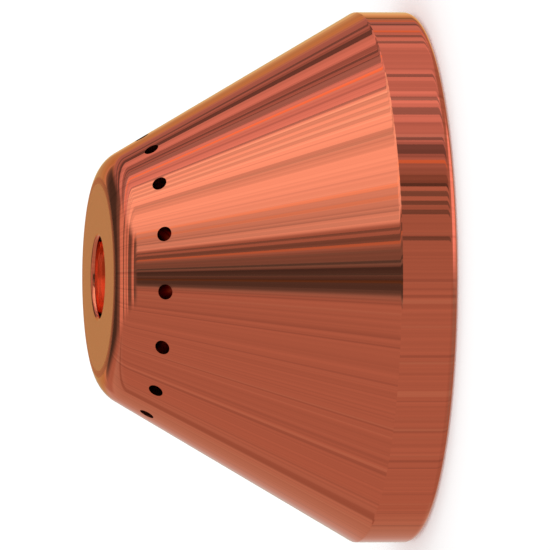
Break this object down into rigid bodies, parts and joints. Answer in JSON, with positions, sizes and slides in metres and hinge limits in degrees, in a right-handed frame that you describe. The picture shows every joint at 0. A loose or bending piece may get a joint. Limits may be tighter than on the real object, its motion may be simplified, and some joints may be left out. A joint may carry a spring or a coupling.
{
  "type": "plasma torch deflector shield",
  "caption": "Turned copper deflector shield for a plasma cutting torch: a conical cap with a central orifice, a ring of fine vents behind its nose and a threaded open end.",
  "frame": {"origin": "centre of the back face, which the shield stands on", "axes": "+Z along the shield's axis, from the open threaded end towards the nose; +X through the middle of one vent"},
  "size_m": [0.028, 0.028, 0.0168],
  "materials": {
    "copper": "polished"
  },
  "bodies": {
    "root": {"deflector_shield": "copper"}
  },
  "joints": []
}
